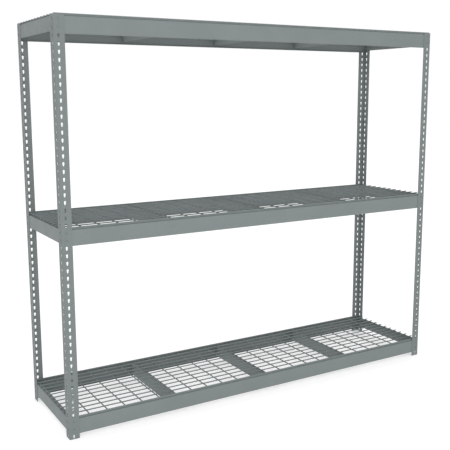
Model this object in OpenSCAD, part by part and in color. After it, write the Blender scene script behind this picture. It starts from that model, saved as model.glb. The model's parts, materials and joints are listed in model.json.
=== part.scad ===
// Boltless steel shelving: four punched angle posts and three levels.
// Each level is four riveted beams, the center supports between them, and a welded wire deck laid on top.
// The origin is on the floor at the middle of the footprint. X is the width, Y runs to the rear, Z is up.

/* [Frame] */
// Width over the outer faces of the posts
frame_w = 2458; // [1800:1:2600]
// Depth over the outer faces of the posts
frame_d = 618; // [450:1:1200]
// Spacing of the keyholes up a post
pitch = 38.1; // [36:0.1:40]
// Keyholes up each flange of a post, which sets the height
hole_count = 56; // [40:1:64]

/* [Levels] */
// Keyhole pitches from the top level down to the middle level
middle_drop = 27; // [12:1:40]
// Keyhole pitches from the top level down to the bottom level
bottom_drop = 53; // [42:1:53]

/* [Posts] */
// Width of each flange of a post
post_flange = 53.5; // [45:0.5:60]
// Thickness of a post's sheet
post_t = 2; // [1.5:0.1:2.5]
// Distance of the keyholes from the post's corner
hole_inset = 23; // [20:0.5:28]
// Distance from the post's top to the middle of the first keyhole's wide end
hole_first = 19.5; // [16:0.5:22]
// Drop from the middle of a keyhole's wide end to the middle of its narrow end
hole_drop = 11; // [9:0.5:12]
// Diameter of a keyhole's wide upper end
hole_wide = 11; // [10.6:0.1:12]
// Diameter of a keyhole's narrow lower end
hole_narrow = 7.4; // [7.2:0.1:8]

/* [Beams] */
// Thickness of the sheet of the beams and the center supports
beam_t = 2; // [1.5:0.1:2.2]
// Height of the front and rear beams
long_beam_h = 82.5; // [78:0.5:84]
// Height of the left and right beams
side_beam_h = 70; // [68:0.5:80]
// Distance from a level's height down to the top of its beams
beam_drop = 8; // [8:0.5:10]
// Depth of the top flange of the front and rear beams
long_flange = 28; // [24:1:34]
// Depth of the return flange along the foot of the front and rear beams
foot_flange = 17; // [10:1:20]
// Width of the top flange of the left and right beams
side_flange = 26; // [20:1:34]

/* [Center supports] */
// Center supports on each level
support_count = 3; // [1:1:4]
// Width of a center support's top flange
support_w = 17; // [14:1:30]
// Height of a center support
support_h = 68; // [50:1:72]
// Width of the tabs that fasten a center support to the beams
tab_w = 18; // [16:1:30]
// Diameter of the lug on each tab
lug_d = 6.5; // [5:0.1:8]

/* [Decks] */
// Diameter of the deck's wire
wire_d = 6.5; // [4:0.1:7]
// Spacing of the long wires, from front to rear
long_wire_pitch = 50; // [40:1:60]
// Long wires in a deck
long_wire_count = 13; // [5:1:13]
// Spacing of the cross wires, along the width
cross_wire_pitch = 101; // [80:1:102]
// Cross wires in a deck
cross_wire_count = 25; // [10:1:25]
// Distance from the ends of the long wires to the outer faces of the posts
wire_inset = 3.5; // [3:0.5:10]
// Depth to which crossing wires are welded into each other
weld_sink = 0.4; // [0.3:0.1:1]

/* [Rivets] */
// Diameter of a rivet's outer head
head_d = 10.2; // [8.5:0.1:10.4]
// Height of a rivet's outer head
head_h = 2.2; // [1.5:0.1:3]
// Diameter of a rivet's shoulder, which hangs in a keyhole's narrow end
shoulder_d = 7; // [6:0.1:7]
// Diameter of a rivet's shank, which is clinched in the beam
shank_d = 6; // [5:0.1:6.4]
// Diameter of a rivet's clinched inner head
clinch_d = 9; // [8:0.1:11]
// Height of a rivet's clinched inner head
clinch_h = 1.2; // [1:0.1:2]

/* [Hidden] */
$fn = 48;
// Heights of the three levels above the floor
frame_h = pitch * hole_count;
top_z = frame_h;
middle_z = frame_h - pitch * middle_drop;
bottom_z = frame_h - pitch * bottom_drop;
// Inside radius of every bend
bend_in = 1;
// Gap between the front and rear beams' ends and the posts' side faces, which leaves room for the side beams
long_end_gap = post_t + beam_t + 0.5;
// Gap between the side beams' ends and the posts' front and rear faces, clear of the posts' bends
side_end_gap = post_t + bend_in + 0.5;
// Height of the notch that lets one flange end beside another
notch_h = beam_t + bend_in + 0.5;
// Distance from the posts' outer faces to where the side and center flanges start
flange_start = post_t + long_flange + 0.5;
// Depth and side position of the lug on a center support's tab
lug_drop = 33;
lug_side = 8;
lug_hole_d = lug_d + 2;
// How far the lug stops short of the beam's outer face
lug_recess = 0.2;
// How far a center support's web stands to the left of its center line
web_shift = 10;
// Clearance under a loose deck
deck_gap = 0.3;
// Position of the first wire of each layer, which centers the layer on the frame
first_long_y = -long_wire_pitch * (long_wire_count - 1) / 2;
first_cross_x = -cross_wire_pitch * (cross_wire_count - 1) / 2;
// How far the cross wires stop short of the center lines of the edge wires
edge_butt = 1;
// Rivets at each end of each beam, and the first one's distance below the level
rivets_per_end = 2;
rivet_drop = hole_first + hole_drop;
rivet_hole_d = shank_d + 0.1;
// Height of the straight rim of a rivet's head, and the radius of the dome on it
rim_h = 0.6;
dome_h = head_h - rim_h;
dome_r = (head_d * head_d / 4 + dome_h * dome_h) / (2 * dome_h);
// Part of a keyhole's end that its tapered neck reaches
neck_fit = 0.98;
// Overshoot of a cutting tool past the sheet it cuts
cut = 1;
// Paint of the frame, the decks and the rivets
frame_grey = [0.53, 0.56, 0.56];
deck_grey = [0.45, 0.48, 0.48];
rivet_grey = [0.50, 0.53, 0.53];

// Height above the floor of a rivet, where k counts down from the level's first keyhole
function rivet_z(level, k) = level - rivet_drop - pitch * k;

// Center line of a center support, counted from the left
function support_x(i) = frame_w * (i / (support_count + 1) - 1 / 2);

// Moves a shape drawn at the front left corner to any corner: x_side and y_side are -1 or 1
module at_corner(x_side, y_side) {
  translate([x_side * frame_w / 2, y_side * frame_d / 2, 0])
    mirror([x_side > 0 ? 1 : 0, 0, 0])
      mirror([0, y_side > 0 ? 1 : 0, 0])
        children();
}

// Moves a shape drawn at the front face to the front or the rear
module at_front_or_rear(y_side) {
  translate([0, y_side * frame_d / 2, 0])
    mirror([0, y_side > 0 ? 1 : 0, 0])
      children();
}

// Moves a shape drawn at the left face to the left or the right
module at_left_or_right(x_side) {
  translate([x_side * frame_w / 2, 0, 0])
    mirror([x_side > 0 ? 1 : 0, 0, 0])
      children();
}

// Section of a bend, with the outer faces of its two flanges on the axes
module bend_section(t) {
  reach = bend_in + t;
  intersection() {
    translate([reach, reach])
      difference() {
        circle(r = reach);
        circle(r = bend_in);
      }
    square([reach, reach]);
  }
}

// Section of a folded sheet that hangs down from the origin: a top flange, a web, and a foot flange unless foot is 0
module folded_section(h, top, foot, t) {
  reach = bend_in + t;
  foot_reach = foot > 0 ? reach : 0;
  mirror([0, 1])
    bend_section(t);
  translate([reach, -t])
    square([top - reach, t]);
  translate([0, foot_reach - h])
    square([t, h - reach - foot_reach]);
  if (foot > 0) {
    translate([0, -h])
      bend_section(t);
    translate([reach, -h])
      square([foot - reach, t]);
  }
}

// Outline of a keyhole, with the middle of its wide end at the origin
module keyhole() {
  circle(d = hole_wide);
  translate([0, -hole_drop])
    circle(d = hole_narrow);
  polygon([
    [-hole_wide * neck_fit / 2, 0],
    [hole_wide * neck_fit / 2, 0],
    [hole_narrow * neck_fit / 2, -hole_drop],
    [-hole_narrow * neck_fit / 2, -hole_drop]
  ]);
}

// One flat flange of a post, standing along X, with its column of keyholes
module post_side() {
  reach = bend_in + post_t;
  translate([0, post_t, 0])
    rotate([90, 0, 0])
      linear_extrude(post_t)
        difference() {
          translate([reach, 0])
            square([post_flange - reach, frame_h]);
          for (k = [0 : hole_count - 1])
            translate([hole_inset, frame_h - hole_first - pitch * k])
              keyhole();
        }
}

// A post, drawn at the front left corner: the second flange is the first one mirrored across the corner
module post() {
  linear_extrude(frame_h)
    bend_section(post_t);
  post_side();
  mirror([1, -1, 0])
    post_side();
}

// A front beam at a level: a channel with rivet holes at its ends and a lug hole at each center support
module long_beam(level) {
  beam_length = frame_w - 2 * long_end_gap;
  difference() {
    translate([-beam_length / 2, post_t, level - beam_drop])
      rotate([90, 0, 90])
        linear_extrude(beam_length)
          folded_section(long_beam_h, long_flange, foot_flange, beam_t);
    for (x_side = [-1, 1])
      for (k = [0 : rivets_per_end - 1])
        translate([x_side * (frame_w / 2 - hole_inset), post_t - cut, rivet_z(level, k)])
          rotate([-90, 0, 0])
            cylinder(d = rivet_hole_d, h = beam_t + 2 * cut);
    for (i = [1 : support_count])
      translate([support_x(i) - web_shift + lug_side, post_t - cut, level - beam_drop - lug_drop])
        rotate([-90, 0, 0])
          cylinder(d = lug_hole_d, h = beam_t + 2 * cut);
  }
}

// A left beam at a level: an angle whose top flange stops short of the front and rear beams
module side_beam(level) {
  beam_length = frame_d - 2 * side_end_gap;
  flange_length = frame_d - 2 * flange_start;
  difference() {
    union() {
      translate([post_t, -beam_length / 2, level - beam_drop - side_beam_h])
        cube([beam_t, beam_length, side_beam_h - notch_h]);
      translate([post_t, flange_length / 2, level - beam_drop])
        rotate([90, 0, 0])
          linear_extrude(flange_length)
            folded_section(notch_h, side_flange, 0, beam_t);
    }
    for (y_side = [-1, 1])
      for (k = [0 : rivets_per_end - 1])
        translate([post_t - cut, y_side * (frame_d / 2 - hole_inset), rivet_z(level, k)])
          rotate([0, 90, 0])
            cylinder(d = rivet_hole_d, h = beam_t + 2 * cut);
  }
}

// A center support at a level: a web with a top flange, and at each end a tab whose lug hangs in the beam's hole
module support(level, i) {
  web_length = frame_d - 2 * (post_t + beam_t);
  flange_length = frame_d - 2 * flange_start;
  translate([support_x(i) - web_shift, 0, level - beam_drop]) {
    translate([0, web_length / 2, -support_h])
      linear_extrude(support_h - notch_h)
        folded_section(web_length, tab_w, tab_w, beam_t);
    translate([0, flange_length / 2, 0])
      rotate([90, 0, 0])
        linear_extrude(flange_length)
          folded_section(notch_h, support_w, 0, beam_t);
    for (y_side = [-1, 1])
      at_front_or_rear(y_side)
        translate([lug_side, post_t + lug_recess, -lug_drop])
          rotate([-90, 0, 0])
            cylinder(d = lug_d, h = 2 * beam_t - lug_recess);
  }
}

// The wire deck at a level: cross wires between two edge wires that rest on the beams, and long wires on top
module deck(level) {
  low_z = level - beam_drop + deck_gap + wire_d / 2;
  cross_length = -2 * (first_long_y + edge_butt);
  long_length = frame_w - 2 * wire_inset;
  for (i = [0 : cross_wire_count - 1])
    translate([first_cross_x + cross_wire_pitch * i, -cross_length / 2, low_z])
      rotate([-90, 0, 0])
        cylinder(d = wire_d, h = cross_length);
  for (y_side = [-1, 1])
    translate([-long_length / 2, y_side * first_long_y, low_z])
      rotate([0, 90, 0])
        cylinder(d = wire_d, h = long_length);
  for (i = [0 : long_wire_count - 1])
    translate([-long_length / 2, first_long_y + long_wire_pitch * i, low_z + wire_d - weld_sink])
      rotate([0, 90, 0])
        cylinder(d = wire_d, h = long_length);
}

// A rivet on the Z axis: its head lies below the origin, and its shank passes up through the post and the beam
module rivet() {
  rotate_extrude() {
    intersection() {
      translate([0, dome_r - head_h])
        circle(r = dome_r);
      translate([0, -head_h])
        square([head_d, dome_h]);
    }
    translate([0, -rim_h])
      square([head_d / 2, rim_h]);
    square([shoulder_d / 2, post_t]);
    translate([0, post_t])
      square([shank_d / 2, beam_t]);
    translate([0, post_t + beam_t])
      square([clinch_d / 2, clinch_h]);
  }
}

// The rivets of one level, with two in each flange of each post
module rivets(level) {
  for (x_side = [-1, 1])
    for (y_side = [-1, 1])
      for (k = [0 : rivets_per_end - 1])
        at_corner(x_side, y_side) {
          translate([hole_inset, 0, rivet_z(level, k)])
            rotate([-90, 0, 0])
              rivet();
          translate([0, hole_inset, rivet_z(level, k)])
            rotate([0, 90, 0])
              rivet();
        }
}

module post_front_left() {
  color(frame_grey)
    at_corner(-1, -1)
      post();
}

module post_front_right() {
  color(frame_grey)
    at_corner(1, -1)
      post();
}

module post_rear_left() {
  color(frame_grey)
    at_corner(-1, 1)
      post();
}

module post_rear_right() {
  color(frame_grey)
    at_corner(1, 1)
      post();
}

module bottom_front_beam() {
  color(frame_grey)
    at_front_or_rear(-1)
      long_beam(bottom_z);
}

module bottom_rear_beam() {
  color(frame_grey)
    at_front_or_rear(1)
      long_beam(bottom_z);
}

module bottom_left_beam() {
  color(frame_grey)
    at_left_or_right(-1)
      side_beam(bottom_z);
}

module bottom_right_beam() {
  color(frame_grey)
    at_left_or_right(1)
      side_beam(bottom_z);
}

module bottom_support_left() {
  color(frame_grey)
    support(bottom_z, 1);
}

module bottom_support_middle() {
  color(frame_grey)
    support(bottom_z, 2);
}

module bottom_support_right() {
  color(frame_grey)
    support(bottom_z, 3);
}

module bottom_deck() {
  color(deck_grey)
    deck(bottom_z);
}

module bottom_rivets() {
  color(rivet_grey)
    rivets(bottom_z);
}

module middle_front_beam() {
  color(frame_grey)
    at_front_or_rear(-1)
      long_beam(middle_z);
}

module middle_rear_beam() {
  color(frame_grey)
    at_front_or_rear(1)
      long_beam(middle_z);
}

module middle_left_beam() {
  color(frame_grey)
    at_left_or_right(-1)
      side_beam(middle_z);
}

module middle_right_beam() {
  color(frame_grey)
    at_left_or_right(1)
      side_beam(middle_z);
}

module middle_support_left() {
  color(frame_grey)
    support(middle_z, 1);
}

module middle_support_middle() {
  color(frame_grey)
    support(middle_z, 2);
}

module middle_support_right() {
  color(frame_grey)
    support(middle_z, 3);
}

module middle_deck() {
  color(deck_grey)
    deck(middle_z);
}

module middle_rivets() {
  color(rivet_grey)
    rivets(middle_z);
}

module top_front_beam() {
  color(frame_grey)
    at_front_or_rear(-1)
      long_beam(top_z);
}

module top_rear_beam() {
  color(frame_grey)
    at_front_or_rear(1)
      long_beam(top_z);
}

module top_left_beam() {
  color(frame_grey)
    at_left_or_right(-1)
      side_beam(top_z);
}

module top_right_beam() {
  color(frame_grey)
    at_left_or_right(1)
      side_beam(top_z);
}

module top_support_left() {
  color(frame_grey)
    support(top_z, 1);
}

module top_support_middle() {
  color(frame_grey)
    support(top_z, 2);
}

module top_support_right() {
  color(frame_grey)
    support(top_z, 3);
}

module top_deck() {
  color(deck_grey)
    deck(top_z);
}

module top_rivets() {
  color(rivet_grey)
    rivets(top_z);
}

post_front_left();
post_front_right();
post_rear_left();
post_rear_right();
bottom_front_beam();
bottom_rear_beam();
bottom_left_beam();
bottom_right_beam();
bottom_support_left();
bottom_support_middle();
bottom_support_right();
bottom_deck();
bottom_rivets();
middle_front_beam();
middle_rear_beam();
middle_left_beam();
middle_right_beam();
middle_support_left();
middle_support_middle();
middle_support_right();
middle_deck();
middle_rivets();
top_front_beam();
top_rear_beam();
top_left_beam();
top_right_beam();
top_support_left();
top_support_middle();
top_support_right();
top_deck();
top_rivets();
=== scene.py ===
"""Looks of boltless steel shelving: grey baked enamel, weld nuggets, wire ends and clinched rivets."""

import json
import logging
import math
from dataclasses import dataclass, field
from enum import Enum
from typing import Iterable

import bmesh
import bpy
from mathutils import Matrix, Vector


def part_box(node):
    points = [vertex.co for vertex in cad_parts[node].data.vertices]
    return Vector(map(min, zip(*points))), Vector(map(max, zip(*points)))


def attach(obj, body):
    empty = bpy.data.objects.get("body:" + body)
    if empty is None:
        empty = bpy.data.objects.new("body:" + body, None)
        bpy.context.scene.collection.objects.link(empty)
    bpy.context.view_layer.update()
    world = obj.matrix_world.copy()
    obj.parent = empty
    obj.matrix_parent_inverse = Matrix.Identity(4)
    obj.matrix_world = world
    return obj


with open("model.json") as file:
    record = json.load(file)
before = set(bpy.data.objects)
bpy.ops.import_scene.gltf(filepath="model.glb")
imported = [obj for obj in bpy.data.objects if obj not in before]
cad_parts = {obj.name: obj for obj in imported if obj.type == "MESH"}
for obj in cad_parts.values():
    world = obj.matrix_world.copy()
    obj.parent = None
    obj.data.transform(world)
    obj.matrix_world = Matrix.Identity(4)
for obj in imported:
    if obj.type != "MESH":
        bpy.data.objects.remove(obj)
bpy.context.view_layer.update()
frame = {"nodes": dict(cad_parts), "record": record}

LOG = logging.getLogger("shelving")
MM = 0.001
QUARTER_TURN = math.pi / 2
FULL_TURN = 2 * math.pi

Color = tuple[float, float, float]


def opaque(color: Color) -> tuple[float, float, float, float]:
    """A color with full opacity."""
    return (*color, 1.0)


class Level(Enum):
    """The three levels of the shelving, from the floor up."""

    BOTTOM = "bottom"
    MIDDLE = "middle"
    TOP = "top"

    @property
    def deck(self) -> str:
        """Name of the level's deck, which is both a node and a body."""
        return f"{self.value}_deck"


class Slot(Enum):
    """The record's material slots."""

    POST = "post_paint"
    BEAM = "beam_paint"
    SUPPORT = "support_paint"
    DECK = "deck_paint"
    RIVET = "rivet_paint"


# ---------------------------------------------------------------- shader groups


@dataclass(frozen=True)
class GroupSocket:
    """One input or output of a shader node group."""

    name: str
    kind: str
    default: object = None


@dataclass
class GroupBuilder:
    """Builds one shader node group with named inputs and outputs."""

    name: str
    inputs: tuple[GroupSocket, ...]
    outputs: tuple[GroupSocket, ...]
    tree: bpy.types.NodeTree = field(init=False)
    source: bpy.types.Node = field(init=False)
    sink: bpy.types.Node = field(init=False)

    def __post_init__(self) -> None:
        """Makes the empty group and its sockets."""
        self.tree = bpy.data.node_groups.new(self.name, "ShaderNodeTree")
        for sockets, way in ((self.inputs, "INPUT"), (self.outputs, "OUTPUT")):
            for item in sockets:
                socket = self.tree.interface.new_socket(item.name, in_out=way, socket_type=item.kind)
                if item.default is not None:
                    socket.default_value = item.default
        self.source = self.tree.nodes.new("NodeGroupInput")
        self.sink = self.tree.nodes.new("NodeGroupOutput")

    def node(self, kind: str, **settings: object) -> bpy.types.Node:
        """Adds a node.

        Args:
            kind: The node's type.
            **settings: Properties to set on it.

        Returns:
            The new node.
        """
        made = self.tree.nodes.new(kind)
        for key, value in settings.items():
            setattr(made, key, value)
        return made

    def link(self, start: bpy.types.NodeSocket, end: bpy.types.NodeSocket) -> None:
        """Joins two sockets."""
        self.tree.links.new(start, end)

    def object_coordinates(self) -> bpy.types.NodeSocket:
        """Adds the object's own coordinates, in meters."""
        return self.node("ShaderNodeTexCoord").outputs["Object"]

    def noise(self, vector: bpy.types.NodeSocket, detail: float, roughness: float) -> bpy.types.Node:
        """Adds a noise texture on a vector, with its scale still free.

        Args:
            vector: The coordinates to read.
            detail: Octaves of finer noise.
            roughness: Strength of the finer octaves.

        Returns:
            The noise node.
        """
        made = self.node("ShaderNodeTexNoise")
        made.inputs["Detail"].default_value = detail
        made.inputs["Roughness"].default_value = roughness
        self.link(vector, made.inputs["Vector"])
        return made

    def stretch(self, value: bpy.types.NodeSocket, low: float, high: float) -> bpy.types.Node:
        """Adds a node that stretches part of a value's range over the whole range from 0 to 1.

        Args:
            value: The value to stretch.
            low: The value that becomes the start of the new range.
            high: The value that becomes the end of the new range.

        Returns:
            The map range node.
        """
        made = self.node("ShaderNodeMapRange")
        made.inputs["From Min"].default_value = low
        made.inputs["From Max"].default_value = high
        self.link(value, made.inputs["Value"])
        return made

    def mix(
        self,
        factor: bpy.types.NodeSocket,
        start: bpy.types.NodeSocket,
        end: bpy.types.NodeSocket,
    ) -> bpy.types.NodeSocket:
        """Mixes two colors.

        Args:
            factor: The share of the second color.
            start: The first color.
            end: The second color.

        Returns:
            The mixed color.
        """
        made = self.node("ShaderNodeMix", data_type="RGBA")
        self.link(factor, made.inputs["Factor"])
        self.link(start, made.inputs["A"])
        self.link(end, made.inputs["B"])
        return made.outputs["Result"]


def float_socket(name: str, default: float) -> GroupSocket:
    """A float socket."""
    return GroupSocket(name, "NodeSocketFloat", default)


def color_socket(name: str, default: tuple[float, ...] | None = None) -> GroupSocket:
    """A color socket."""
    return GroupSocket(name, "NodeSocketColor", default)


def make_mottle_group() -> bpy.types.NodeTree:
    """Builds the group that drifts the enamel's color slightly, as the paint's thickness does.

    Returns:
        The node group.
    """
    group = GroupBuilder(
        "enamel_mottle",
        (
            color_socket("Base", (0.2, 0.2, 0.2, 1.0)),
            color_socket("Thin", (0.2, 0.2, 0.2, 1.0)),
            color_socket("Dust", (0.4, 0.4, 0.4, 1.0)),
            float_socket("Scale", 6.0),
            float_socket("Dust Amount", 0.05),
        ),
        (color_socket("Color"),),
    )
    drift = group.noise(group.object_coordinates(), detail=3.0, roughness=0.55)
    group.link(group.source.outputs["Scale"], drift.inputs["Scale"])
    patches = group.stretch(drift.outputs["Fac"], low=0.35, high=0.65)
    paint = group.mix(
        patches.outputs["Result"], group.source.outputs["Base"], group.source.outputs["Thin"]
    )
    up = group.node("ShaderNodeSeparateXYZ")
    group.link(group.node("ShaderNodeNewGeometry").outputs["Normal"], up.inputs["Vector"])
    settle = group.node("ShaderNodeMath", operation="MULTIPLY", use_clamp=True)
    group.link(up.outputs["Z"], settle.inputs[0])
    group.link(group.source.outputs["Dust Amount"], settle.inputs[1])
    dusted = group.mix(settle.outputs["Value"], paint, group.source.outputs["Dust"])
    group.link(dusted, group.sink.inputs["Color"])
    return group.tree


def make_sheen_group() -> bpy.types.NodeTree:
    """Builds the group that varies the enamel's roughness in soft patches.

    Returns:
        The node group.
    """
    group = GroupBuilder(
        "enamel_sheen",
        (float_socket("Smooth", 0.4), float_socket("Rough", 0.5), float_socket("Scale", 14.0)),
        (float_socket("Roughness", 0.0),),
    )
    patches = group.noise(group.object_coordinates(), detail=4.0, roughness=0.6)
    group.link(group.source.outputs["Scale"], patches.inputs["Scale"])
    spread = group.stretch(patches.outputs["Fac"], low=0.3, high=0.7)
    group.link(group.source.outputs["Smooth"], spread.inputs["To Min"])
    group.link(group.source.outputs["Rough"], spread.inputs["To Max"])
    group.link(spread.outputs["Result"], group.sink.inputs["Roughness"])
    return group.tree


def make_orange_peel_group() -> bpy.types.NodeTree:
    """Builds the group for the fine pebbled surface that sprayed and baked enamel has.

    Returns:
        The node group.
    """
    group = GroupBuilder(
        "orange_peel",
        (
            float_socket("Scale", 600.0),
            float_socket("Strength", 0.1),
            float_socket("Distance", 0.05 * MM),
        ),
        (GroupSocket("Normal", "NodeSocketVector"),),
    )
    pebbles = group.noise(group.object_coordinates(), detail=2.0, roughness=0.45)
    group.link(group.source.outputs["Scale"], pebbles.inputs["Scale"])
    bump = group.node("ShaderNodeBump")
    group.link(group.source.outputs["Strength"], bump.inputs["Strength"])
    group.link(group.source.outputs["Distance"], bump.inputs["Distance"])
    group.link(pebbles.outputs["Fac"], bump.inputs["Height"])
    group.link(bump.outputs["Normal"], group.sink.inputs["Normal"])
    return group.tree


@dataclass(frozen=True)
class EnamelGroups:
    """The shader groups that every enamel finish shares."""

    mottle: bpy.types.NodeTree
    sheen: bpy.types.NodeTree
    peel: bpy.types.NodeTree

    @classmethod
    def build(cls) -> "EnamelGroups":
        """Builds all three groups once."""
        return cls(make_mottle_group(), make_sheen_group(), make_orange_peel_group())


# ---------------------------------------------------------------- finishes


@dataclass(frozen=True)
class Enamel:
    """Grey baked enamel on steel, for one kind of part, with its colors as linear light."""

    name: str
    base: Color
    thin: Color
    smooth: float = 0.42
    rough: float = 0.52
    mottle_scale: float = 5.0
    peel_scale: float = 650.0
    peel_strength: float = 0.12
    dust: Color = (0.34, 0.35, 0.35)
    dust_amount: float = 0.03
    specular: float = 0.2

    def build(self, groups: EnamelGroups) -> bpy.types.Material:
        """Makes the material.

        Args:
            groups: The shared shader groups.

        Returns:
            The finished material.
        """
        material = bpy.data.materials.new(self.name)
        material.use_nodes = True
        tree = material.node_tree
        shader = tree.nodes["Principled BSDF"]
        shader.inputs["Specular IOR Level"].default_value = self.specular
        mottle = self._place(tree, groups.mottle)
        mottle.inputs["Base"].default_value = opaque(self.base)
        mottle.inputs["Thin"].default_value = opaque(self.thin)
        mottle.inputs["Dust"].default_value = opaque(self.dust)
        mottle.inputs["Scale"].default_value = self.mottle_scale
        mottle.inputs["Dust Amount"].default_value = self.dust_amount
        sheen = self._place(tree, groups.sheen)
        sheen.inputs["Smooth"].default_value = self.smooth
        sheen.inputs["Rough"].default_value = self.rough
        peel = self._place(tree, groups.peel)
        peel.inputs["Scale"].default_value = self.peel_scale
        peel.inputs["Strength"].default_value = self.peel_strength
        tree.links.new(mottle.outputs["Color"], shader.inputs["Base Color"])
        tree.links.new(sheen.outputs["Roughness"], shader.inputs["Roughness"])
        tree.links.new(peel.outputs["Normal"], shader.inputs["Normal"])
        return material

    @staticmethod
    def _place(tree: bpy.types.NodeTree, group: bpy.types.NodeTree) -> bpy.types.Node:
        """Places a shader group in a material's tree."""
        node = tree.nodes.new("ShaderNodeGroup")
        node.node_tree = group
        return node


FINISHES: dict[Slot, Enamel] = {
    Slot.POST: Enamel("enamel_post", (0.132, 0.152, 0.151), (0.141, 0.160, 0.159)),
    Slot.BEAM: Enamel("enamel_beam", (0.140, 0.161, 0.160), (0.150, 0.170, 0.169)),
    # Painted light: the supports wear the same grey paint as the frame, but this copy's color is raised
    # to brighten the supports' tops, which lie in the deck's shade.
    Slot.SUPPORT: Enamel("enamel_support_painted_light", (0.172, 0.197, 0.196), (0.182, 0.206, 0.205)),
    Slot.DECK: Enamel(
        "enamel_wire",
        (0.134, 0.154, 0.155),
        (0.146, 0.167, 0.167),
        mottle_scale=20.0,
        peel_strength=0.2,
    ),
    Slot.RIVET: Enamel(
        "enamel_rivet",
        (0.138, 0.159, 0.159),
        (0.149, 0.170, 0.169),
        mottle_scale=60.0,
    ),
}


# ---------------------------------------------------------------- pieces


def finish_piece(
    mesh: bmesh.types.BMesh,
    name: str,
    body: str,
    material: bpy.types.Material,
) -> bpy.types.Object:
    """Turns a bmesh into a piece that rides on a body.

    Args:
        mesh: The shape, in the shared frame. It is freed.
        name: The piece's name.
        body: The body that it rides on.
        material: Its material.

    Returns:
        The piece.
    """
    bmesh.ops.recalc_face_normals(mesh, faces=mesh.faces)
    data = bpy.data.meshes.new(name)
    mesh.to_mesh(data)
    mesh.free()
    data.materials.append(material)
    data.shade_smooth()
    piece = bpy.data.objects.new(name, data)
    bpy.context.scene.collection.objects.link(piece)
    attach(piece, body)
    return piece


def stamp(pattern: bmesh.types.BMesh, places: Iterable[Matrix]) -> bmesh.types.BMesh:
    """Copies one small shape to many places.

    Args:
        pattern: The shape, around its own origin. It is freed.
        places: Where each copy goes.

    Returns:
        All the copies in one mesh.
    """
    master = bpy.data.meshes.new("pattern")
    pattern.to_mesh(master)
    pattern.free()
    whole = bmesh.new()
    for place in places:
        copy = master.copy()
        copy.transform(place)
        whole.from_mesh(copy)
        bpy.data.meshes.remove(copy)
    bpy.data.meshes.remove(master)
    return whole


@dataclass
class DeckWelds:
    """The weld nuggets where a deck's wires cross, and the domed ends of its long and edge wires.

    Each dome step is a share of the wire's radius and a share of the dome's height.
    """

    level: Level
    wire_d: float = 6.5 * MM
    long_count: int = 13
    long_pitch: float = 50.0 * MM
    cross_count: int = 25
    cross_pitch: float = 101.0 * MM
    nugget_radius: float = 2.9 * MM
    nugget_height: float = 1.3 * MM
    nugget_segments: int = 10
    nugget_rings: int = 5
    end_dome: float = 0.7 * MM
    dome_steps: tuple[tuple[float, float], ...] = ((0.82, 0.55), (0.45, 0.92))
    dome_segments: int = 12

    @staticmethod
    def layer(count: int, pitch: float) -> list[float]:
        """Positions of a layer's wires, which are centered on the frame."""
        return [pitch * (index - (count - 1) / 2) for index in range(count)]

    def build(self, materials: dict[Slot, bpy.types.Material]) -> list[bpy.types.Object]:
        """Makes the deck's nuggets and wire ends.

        Args:
            materials: The finishes by slot.

        Returns:
            The two pieces.
        """
        deck = self.level.deck
        low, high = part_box(deck)
        lower_z = low.z + self.wire_d / 2
        upper_z = high.z - self.wire_d / 2
        shapes = {
            f"{deck}_weld_nuggets": self._nuggets((lower_z + upper_z) / 2),
            f"{deck}_wire_ends": self._wire_ends(low, high, lower_z, upper_z),
        }
        return [
            finish_piece(mesh, name, deck, materials[Slot.DECK])
            for name, mesh in shapes.items()
        ]

    def _nuggets(self, height: float) -> bmesh.types.BMesh:
        """Makes a squashed ball at each crossing between the edge wires, where the layers meet."""
        ball = bmesh.new()
        squash = Matrix.Diagonal((1.0, 1.0, self.nugget_height / self.nugget_radius, 1.0))
        bmesh.ops.create_uvsphere(
            ball,
            u_segments=self.nugget_segments,
            v_segments=self.nugget_rings,
            radius=self.nugget_radius,
            matrix=squash,
        )
        return stamp(
            ball,
            (
                Matrix.Translation((x, y, height))
                for x in self.layer(self.cross_count, self.cross_pitch)
                for y in self.layer(self.long_count, self.long_pitch)[1:-1]
            ),
        )

    def _wire_ends(self, low: Vector, high: Vector, edge_z: float, long_z: float) -> bmesh.types.BMesh:
        """Makes a low dome on both ends of each long wire and each edge wire.

        Args:
            low: Lowest corner of the deck.
            high: Highest corner of the deck.
            edge_z: Height of the edge wires' axes.
            long_z: Height of the long wires' axes.

        Returns:
            All the domes in one mesh.
        """
        rows = self.layer(self.long_count, self.long_pitch)
        axes = [(y, long_z) for y in rows] + [(y, edge_z) for y in (rows[0], rows[-1])]
        return stamp(
            self._dome(),
            (
                Matrix.Translation((x, y, z)) @ Matrix.Rotation(turn, 4, "Y")
                for y, z in axes
                for x, turn in ((low.x, -QUARTER_TURN), (high.x, QUARTER_TURN))
            ),
        )

    def _dome(self) -> bmesh.types.BMesh:
        """Makes a low dome that stands on the XY plane, as wide as the wire."""
        radius = self.wire_d / 2
        mesh = bmesh.new()
        bmesh.ops.create_circle(mesh, cap_ends=True, segments=self.dome_segments, radius=radius)
        mesh.faces.ensure_lookup_table()
        face = mesh.faces[0]
        for share, rise in self.dome_steps:
            face = bmesh.ops.extrude_discrete_faces(mesh, faces=[face])["faces"][0]
            for vert in face.verts:
                flat = vert.co.to_2d().normalized() * radius * share
                vert.co = (flat.x, flat.y, self.end_dome * rise)
        return mesh


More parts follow.
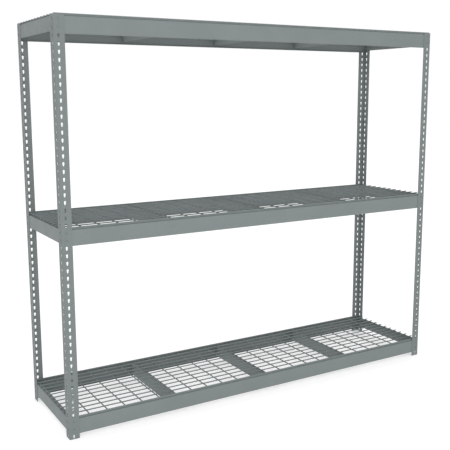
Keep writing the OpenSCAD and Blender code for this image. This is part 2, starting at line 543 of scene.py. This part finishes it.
@dataclass
class ClinchedRivets:
    """The rolled inner ends of a level's rivets, as a clinching tool leaves them.

    The profile runs from the rim to the middle. Each point is a radius and a height above the beam's
    inner face, in millimeters.
    """

    level: Level
    profile: tuple[tuple[float, float], ...] = (
        (4.45, 1.15),
        (4.3, 1.45),
        (3.6, 1.75),
        (2.7, 1.7),
        (2.1, 1.2),
        (0.0, 1.15),
    )
    hole_inset: float = 23.0 * MM
    post_and_beam_t: float = 4.0 * MM
    rivet_drop: float = 30.5 * MM
    pitch: float = 38.1 * MM
    beam_drop: float = 8.0 * MM
    rivets_per_end: int = 2
    segments: int = 16
    merge_gap: float = 0.001 * MM

    def build(self, materials: dict[Slot, bpy.types.Material]) -> bpy.types.Object:
        """Makes the level's sixteen rolled ends as one piece.

        Args:
            materials: The finishes by slot.

        Returns:
            The piece.
        """
        post_low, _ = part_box("post_front_left")
        _, beam_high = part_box(f"{self.level.value}_front_beam")
        level_z = beam_high.z + self.beam_drop
        half_w, half_d = -post_low.x, -post_low.y
        in_w, in_d = half_w - self.hole_inset, half_d - self.hole_inset
        face_w, face_d = half_w - self.post_and_beam_t, half_d - self.post_and_beam_t
        places = []
        for step in range(self.rivets_per_end):
            z = level_z - self.rivet_drop - self.pitch * step
            for sx in (-1, 1):
                for sy in (-1, 1):
                    places.append(self._facing(Vector((sx * in_w, sy * face_d, z)), Vector((0, -sy, 0))))
                    places.append(self._facing(Vector((sx * face_w, sy * in_d, z)), Vector((-sx, 0, 0))))
        return finish_piece(
            stamp(self._roll(), places),
            f"{self.level.value}_rivet_clinches",
            "frame",
            materials[Slot.RIVET],
        )

    @staticmethod
    def _facing(foot: Vector, way: Vector) -> Matrix:
        """Places a shape with its foot at a point and its Z axis along a direction."""
        return Matrix.Translation(foot) @ way.to_track_quat("Z", "Y").to_matrix().to_4x4()

    def _roll(self) -> bmesh.types.BMesh:
        """Spins the profile of one rolled end about the Z axis."""
        mesh = bmesh.new()
        verts = [mesh.verts.new((radius * MM, 0.0, height * MM)) for radius, height in self.profile]
        edges = [mesh.edges.new(pair) for pair in zip(verts, verts[1:])]
        bmesh.ops.spin(
            mesh,
            geom=verts + edges,
            cent=(0, 0, 0),
            axis=(0, 0, 1),
            angle=FULL_TURN,
            steps=self.segments,
            use_merge=True,
        )
        bmesh.ops.remove_doubles(mesh, verts=mesh.verts, dist=self.merge_gap)
        return mesh


# ---------------------------------------------------------------- studio


@dataclass(frozen=True)
class ViewCamera:
    """The camera, placed and turned in the frame's own coordinates.

    The position is in meters, the angles are in degrees, and the lens and its sensor are in millimeters.
    """

    position: tuple[float, float, float] = (-2.3571, -3.7747, 1.7537)
    yaw: float = 30.60
    pitch: float = -9.40
    roll: float = -0.225
    lens: float = 58.94
    sensor_width: float = 36.0
    shift: tuple[float, float] = (0.0042, -0.0185)
    clip: tuple[float, float] = (0.05, 100.0)

    def build(self) -> bpy.types.Object:
        """Makes the camera and sets it as the scene's camera."""
        data = bpy.data.cameras.new("view_camera")
        data.lens = self.lens
        data.sensor_width = self.sensor_width
        data.shift_x, data.shift_y = self.shift
        data.clip_start, data.clip_end = self.clip
        yaw, pitch, roll = (math.radians(angle) for angle in (self.yaw, self.pitch, self.roll))
        level_share = math.cos(pitch)
        ahead = Vector((math.sin(yaw) * level_share, math.cos(yaw) * level_share, math.sin(pitch)))
        level_right = Vector((math.cos(yaw), -math.sin(yaw), 0.0))
        level_up = level_right.cross(ahead)
        right = level_right * math.cos(roll) + level_up * math.sin(roll)
        up = level_up * math.cos(roll) - level_right * math.sin(roll)
        camera = bpy.data.objects.new("view_camera", data)
        turn = Matrix((right, up, -ahead)).transposed().to_4x4()
        camera.matrix_world = Matrix.Translation(self.position) @ turn
        bpy.context.scene.collection.objects.link(camera)
        bpy.context.scene.camera = camera
        return camera


@dataclass(frozen=True)
class SoftLight:
    """One large soft lamp that faces a point, with its size in meters and its power in watts."""

    name: str
    position: tuple[float, float, float]
    target: tuple[float, float, float]
    size: float
    power: float

    def build(self) -> bpy.types.Object:
        """Makes the lamp and turns it to its target."""
        data = bpy.data.lights.new(self.name, "AREA")
        data.shape = "DISK"
        data.size = self.size
        data.energy = self.power
        lamp = bpy.data.objects.new(self.name, data)
        lamp.location = self.position
        lamp.rotation_mode = "QUATERNION"
        way = Vector(self.target) - Vector(self.position)
        lamp.rotation_quaternion = way.to_track_quat("-Z", "Y")
        bpy.context.scene.collection.objects.link(lamp)
        return lamp


@dataclass(frozen=True)
class Studio:
    """A plain pale floor in an evenly lit white room, with one soft lamp in front.

    The wall's and the ceiling's limits are heights of the direction looked in, from 0 level to 1 upright.
    """

    floor_size: float = 60.0
    floor_gap: float = 0.2 * MM
    floor_color: Color = (0.62, 0.62, 0.62)
    floor_roughness: float = 0.9
    floor_specular: float = 0.1
    glow_color: Color = (1.0, 1.0, 1.0)
    floor_glow: float = 0.45
    wall_color: Color = (1.01, 1.01, 1.01)
    wall_end: float = 0.25
    ceiling_start: float = 0.8
    ceiling_color: Color = (1.05, 1.05, 1.05)
    lights: tuple[SoftLight, ...] = (
        SoftLight("key_light", (-3.6, -8.6, 2.4), (0.0, 0.0, 1.0), 4.5, 430.0),
    )

    def build(self) -> None:
        """Makes the floor, the room's light and the lamps."""
        self._floor()
        self._room()
        for light in self.lights:
            light.build()
        bpy.context.scene.view_settings.view_transform = "Standard"

    def _floor(self) -> None:
        """Makes the floor just under the posts' feet, with a little light of its own."""
        mesh = bmesh.new()
        bmesh.ops.create_grid(mesh, x_segments=1, y_segments=1, size=self.floor_size / 2)
        data = bpy.data.meshes.new("studio_floor")
        mesh.to_mesh(data)
        mesh.free()
        material = bpy.data.materials.new("studio_floor")
        material.use_nodes = True
        shader = material.node_tree.nodes["Principled BSDF"]
        shader.inputs["Base Color"].default_value = opaque(self.floor_color)
        shader.inputs["Roughness"].default_value = self.floor_roughness
        shader.inputs["Specular IOR Level"].default_value = self.floor_specular
        shader.inputs["Emission Color"].default_value = opaque(self.glow_color)
        shader.inputs["Emission Strength"].default_value = self.floor_glow
        data.materials.append(material)
        floor = bpy.data.objects.new("studio_floor", data)
        floor.location.z = -self.floor_gap
        bpy.context.scene.collection.objects.link(floor)

    def _room(self) -> None:
        """Lights the room from its white walls and its slightly brighter ceiling."""
        world = bpy.data.worlds.new("studio_room")
        world.use_nodes = True
        tree = world.node_tree
        direction = tree.nodes.new("ShaderNodeTexCoord")
        height = tree.nodes.new("ShaderNodeSeparateXYZ")
        tree.links.new(direction.outputs["Generated"], height.inputs["Vector"])
        rise = tree.nodes.new("ShaderNodeMapRange")
        rise.interpolation_type = "SMOOTHSTEP"
        rise.inputs["From Min"].default_value = self.wall_end
        rise.inputs["From Max"].default_value = self.ceiling_start
        tree.links.new(height.outputs["Z"], rise.inputs["Value"])
        blend = tree.nodes.new("ShaderNodeMix")
        blend.data_type = "RGBA"
        blend.inputs["A"].default_value = opaque(self.wall_color)
        blend.inputs["B"].default_value = opaque(self.ceiling_color)
        tree.links.new(rise.outputs["Result"], blend.inputs["Factor"])
        tree.links.new(blend.outputs["Result"], tree.nodes["Background"].inputs["Color"])
        bpy.context.scene.world = world


# ---------------------------------------------------------------- assembly


@dataclass
class Shelving:
    """The whole unit, which dresses the frame's nodes and adds the small pieces to them."""

    nodes: dict[str, bpy.types.Object]
    slots: dict[str, Slot]
    materials: dict[Slot, bpy.types.Material] = field(default_factory=dict)

    def dress(self) -> None:
        """Gives every node the finish of its slot."""
        groups = EnamelGroups.build()
        self.materials = {slot: finish.build(groups) for slot, finish in FINISHES.items()}
        for name, node in self.nodes.items():
            node.data.materials.clear()
            node.data.materials.append(self.materials[self.slots[name]])

    def detail(self) -> None:
        """Adds the welds, wire ends and rivet ends of each level."""
        for level in Level:
            for piece in DeckWelds(level).build(self.materials):
                LOG.info("made %s with %d faces", piece.name, len(piece.data.polygons))
            clinches = ClinchedRivets(level).build(self.materials)
            LOG.info("made %s with %d faces", clinches.name, len(clinches.data.polygons))


def main() -> None:
    """Builds the camera, the studio and the shelving."""
    logging.basicConfig(level=logging.INFO, format="%(name)s: %(message)s")
    ViewCamera().build()
    Studio().build()
    slots = {part["node"]: Slot(part["material_slot"]) for part in frame["record"]["subparts"]}
    shelving = Shelving(frame["nodes"], slots)
    shelving.dress()
    shelving.detail()


if __name__ == "__main__":
    main()
